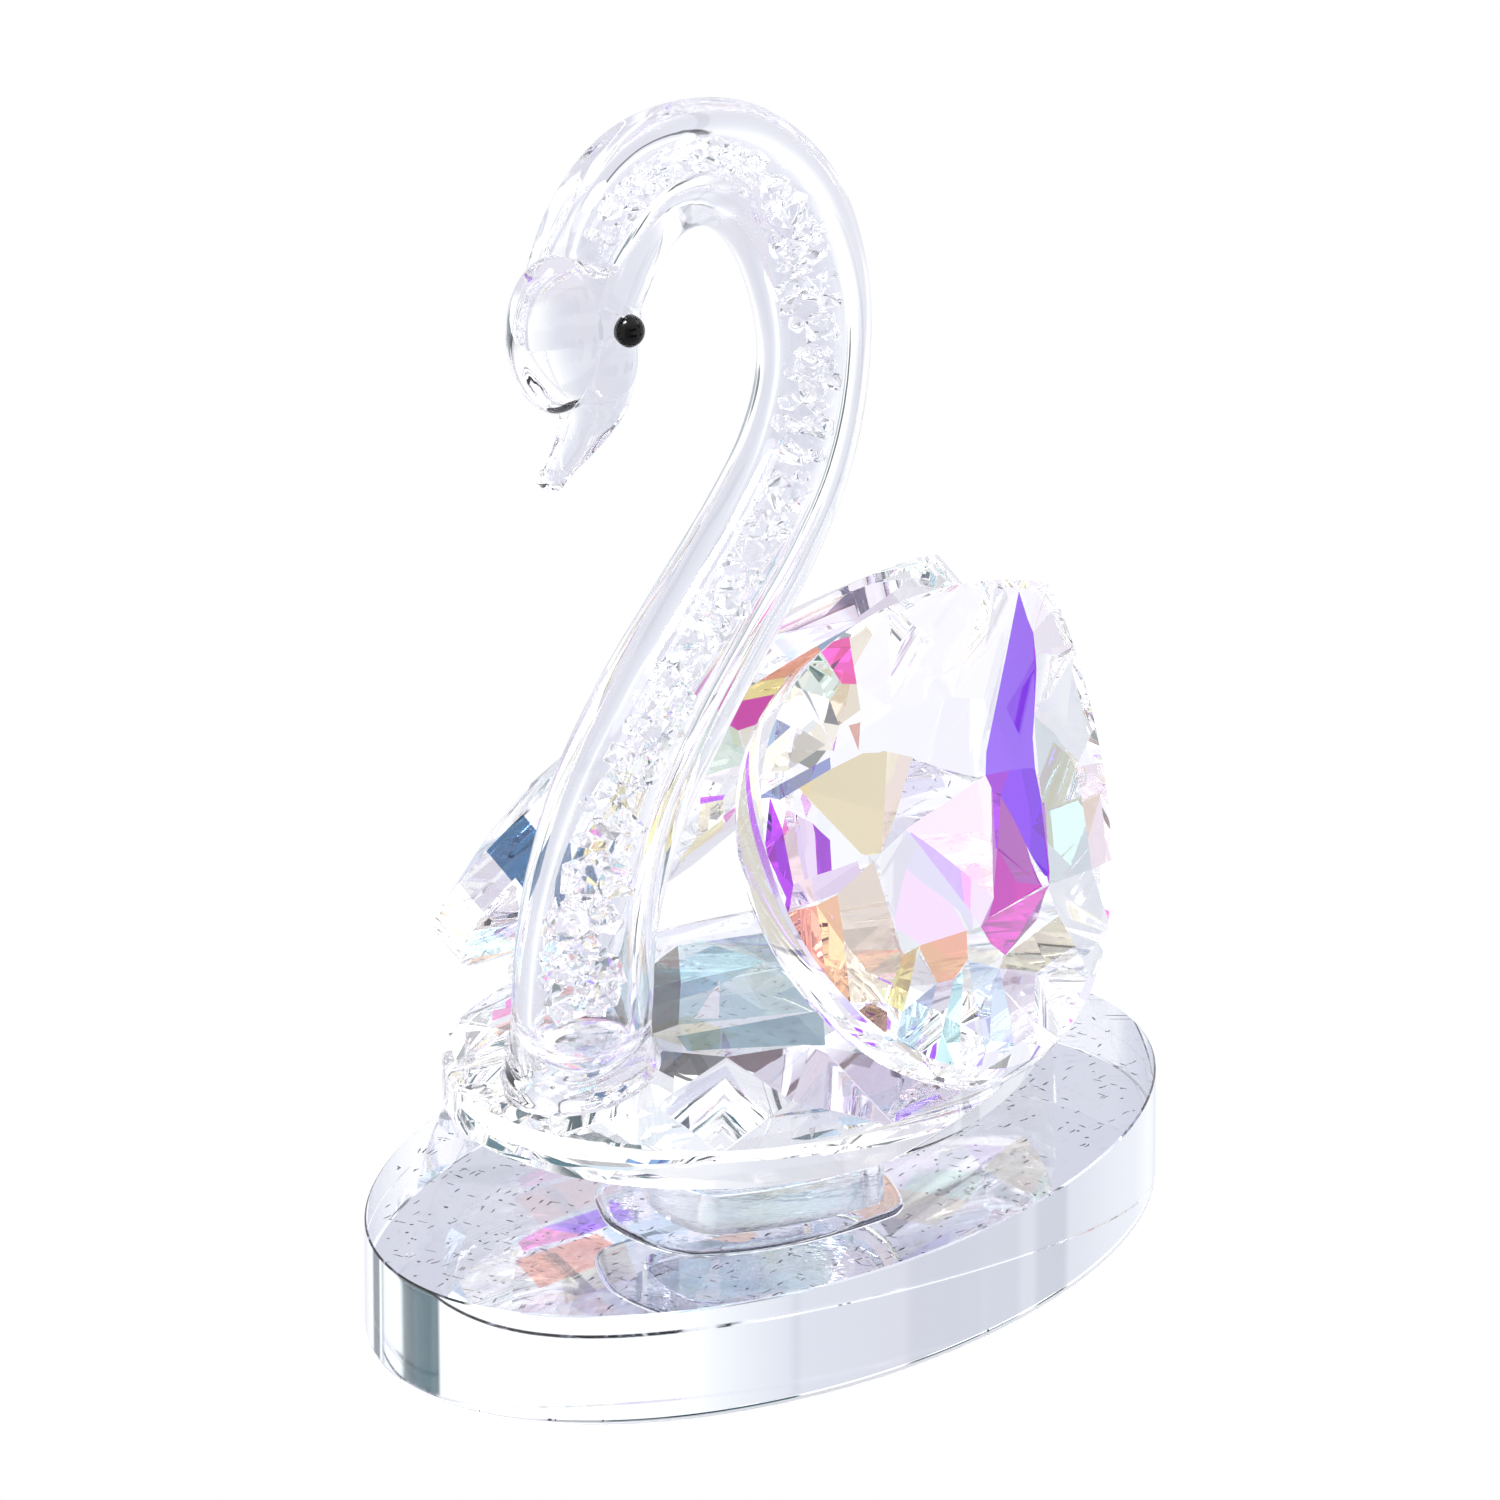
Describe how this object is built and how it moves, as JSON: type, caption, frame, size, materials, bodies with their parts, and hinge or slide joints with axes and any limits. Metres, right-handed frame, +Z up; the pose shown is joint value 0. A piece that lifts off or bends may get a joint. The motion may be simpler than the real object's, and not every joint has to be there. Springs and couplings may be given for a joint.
{
  "type": "crystal swan figurine",
  "caption": "Crystal swan ornament: mirror-backed oval glass base, faceted almond body and wings, and a clear glass neck filled with crystal chips.",
  "frame": {"origin": "centre of the base's underside, on the surface it stands on", "axes": "+Z up; the swan looks along -X, its tail towards +X; its left wing is on the -Y side"},
  "size_m": [0.105, 0.0664, 0.1247],
  "materials": {
    "clear_glass": "clear polished glass",
    "coated_crystal": "cut and polished crystal with an iridescent coating on one side",
    "crystal_chips": "loose clear crystal chips and small round cut stones",
    "clear_glue": "clear cured glue, glossy",
    "mirror": "silvered film",
    "pad": "smooth protective film",
    "black_bead": "polished black bead"
  },
  "bodies": {
    "root": {"base_pad": "pad", "mirror_backing": "mirror", "base_glass": "clear_glass", "pedestal_glue": "clear_glue", "pedestal": "clear_glass", "body_glue": "clear_glue", "body_crystal": "coated_crystal", "wing_left": "coated_crystal", "wing_right": "coated_crystal", "wing_glue_left": "clear_glue", "wing_glue_right": "clear_glue", "neck_glue": "clear_glue", "neck_tube": "clear_glass", "head": "clear_glass", "beak": "clear_glass", "eye_left": "black_bead", "eye_right": "black_bead", "chips_foot": "crystal_chips", "chips_lower": "crystal_chips", "chips_middle": "crystal_chips", "chips_upper": "crystal_chips", "chips_arch": "crystal_chips", "chatons": "crystal_chips"}
  },
  "joints": []
}
